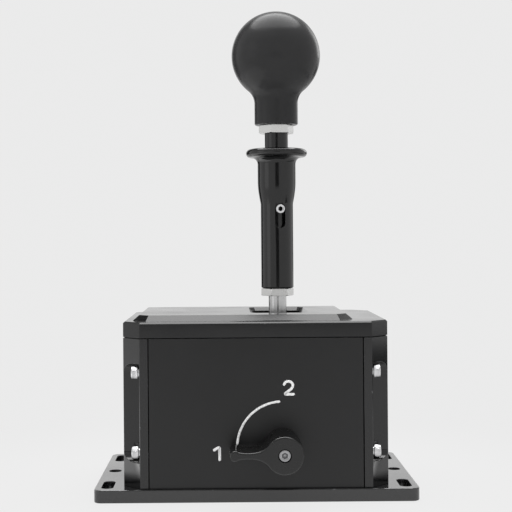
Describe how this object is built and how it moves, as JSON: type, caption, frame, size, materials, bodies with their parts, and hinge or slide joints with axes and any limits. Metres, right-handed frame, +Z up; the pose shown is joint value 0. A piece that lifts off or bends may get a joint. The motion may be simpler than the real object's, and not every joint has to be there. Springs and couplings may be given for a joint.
{
  "type": "sim racing gear shifter",
  "caption": "Desk or rig mounted gear shifter for driving games: boxed gimbal, tilting lever with lift collar and ball knob, and a quarter-turn mode selector on the front.",
  "frame": {"origin": "on the underside of the base plate, midway between its two round mounting holes", "axes": "+Z up along the lever, -Y towards the player's side with the mode selector, +X to the right seen from there"},
  "size_m": [0.187, 0.133, 0.291],
  "materials": {
    "black_plate": "black anodised plate, fine blasted satin",
    "black_panel": "black anodised sheet, even satin",
    "black_cover": "black anodised, machined satin",
    "black_rubber": "matte black rubber",
    "black_tube": "black anodised tube, satin",
    "black_collar": "black anodised and turned, satin",
    "black_knob": "soft-touch black plastic",
    "black_selector": "moulded black plastic, fine grain",
    "bright_screws": "bright zinc-plated screws and washers",
    "zinc_screws": "dull steel screws",
    "nickel_nuts": "satin nickel-plated nuts",
    "turned_steel": "turned and polished steel rod",
    "bright_steel": "ground steel",
    "spring_steel": "wound spring wire",
    "grey_aluminium": "plain milled aluminium",
    "bronze": "turned bronze or brass",
    "green_board": "green circuit board with black chips"
  },
  "bodies": {
    "housing": {"base_plate": "black_plate", "left_side_plate": "black_plate", "right_side_plate": "black_plate", "front_panel": "black_panel", "rear_panel": "black_panel", "cover_gasket": "black_rubber", "top_cover": "black_cover", "tie_screws": "zinc_screws", "panel_screws": "zinc_screws", "side_screws": "bright_screws", "side_washers": "bright_screws", "stop_frame": "grey_aluminium", "stop_buffer": "black_rubber", "stop_screws": "zinc_screws", "centring_posts": "grey_aluminium", "centring_barrels": "bright_steel", "centring_springs": "spring_steel", "trunnion_bearings": "bright_steel", "selector_bush": "bronze", "lock_guide": "grey_aluminium", "reverse_stop": "grey_aluminium", "sensor_stand": "grey_aluminium", "sensor_board": "green_board", "circuit_board": "green_board", "board_standoffs": "bronze", "data_socket": "bright_steel", "bracket_screws": "zinc_screws"},
    "cradle": {"cradle_cheeks": "grey_aluminium", "cradle_ends": "grey_aluminium", "cradle_screws": "zinc_screws", "trunnions": "bright_steel", "pivot_bushes": "bronze", "shift_barrels": "bright_steel", "shift_springs": "spring_steel"},
    "lever": {"lever_block": "grey_aluminium", "pivot_pins": "bright_steel", "lever_rod": "turned_steel", "rod_set_screw": "zinc_screws", "lower_nut": "nickel_nuts", "guide_tube": "black_tube", "guide_screw": "bright_screws", "upper_nut": "nickel_nuts", "knob_insert": "bronze", "gear_knob": "black_knob", "spring_plug": "zinc_screws", "lockout_spring": "spring_steel", "lever_magnet": "bright_steel"},
    "collar": {"lift_collar": "black_collar", "cross_pin": "bright_steel", "lockout_rod": "bright_steel"},
    "selector": {"mode_lever": "black_selector", "selector_shaft": "bright_steel", "hub_screw": "bright_screws", "shaft_collar": "grey_aluminium"},
    "lock": {"lock_pin": "bright_steel"},
    "left_pusher": {"left_plunger": "bright_steel"},
    "right_pusher": {"right_plunger": "bright_steel"},
    "front_pusher": {"front_plunger": "bright_steel"},
    "rear_pusher": {"rear_plunger": "bright_steel"}
  },
  "joints": [
    {"name": "select_swing", "type": "hinge", "parent": "housing", "child": "cradle", "pos_m": [0.015, 0, 0.056], "axis": [0, 1, 0], "range_deg": [-8, 8], "stiffness_Nm_per_rad": 6},
    {"name": "shift_swing", "type": "hinge", "parent": "cradle", "child": "lever", "pos_m": [0.015, 0, 0.056], "axis": [1, 0, 0], "range_deg": [-11, 11], "stiffness_Nm_per_rad": 8},
    {"name": "collar_lift", "type": "slide", "parent": "lever", "child": "collar", "axis": [0, 0, 1], "range_m": [0, 0.0087], "stiffness_N_per_m": 400, "springref_m": -0.012, "deforming": ["lockout_spring"]},
    {"name": "selector_turn", "type": "hinge", "parent": "housing", "child": "selector", "pos_m": [0.015, -0.06, 0.0312], "axis": [0, 1, 0], "range_deg": [0, 90]},
    {"name": "lock_drop", "type": "slide", "parent": "housing", "child": "lock", "axis": [0, 0, -1], "range_m": [0, 0.0024]},
    {"name": "left_pusher_slide", "type": "slide", "parent": "housing", "child": "left_pusher", "axis": [1, 0, 0], "range_m": [-0.0007, 0.0007]},
    {"name": "right_pusher_slide", "type": "slide", "parent": "housing", "child": "right_pusher", "axis": [1, 0, 0], "range_m": [-0.0007, 0.0007]},
    {"name": "front_pusher_slide", "type": "slide", "parent": "cradle", "child": "front_pusher", "axis": [0, 1, 0], "range_m": [-0.0007, 0.0007]},
    {"name": "rear_pusher_slide", "type": "slide", "parent": "cradle", "child": "rear_pusher", "axis": [0, 1, 0], "range_m": [-0.0007, 0.0007]}
  ],
  "couplings": [
    {"joint": "selector_turn", "follows": "lock_drop", "rad_per_m": 654.49},
    {"joint": "left_pusher_slide", "follows": "select_swing", "m_per_rad": 0.005},
    {"joint": "right_pusher_slide", "follows": "select_swing", "m_per_rad": 0.005},
    {"joint": "front_pusher_slide", "follows": "shift_swing", "m_per_rad": -0.0035},
    {"joint": "rear_pusher_slide", "follows": "shift_swing", "m_per_rad": -0.0035}
  ]
}
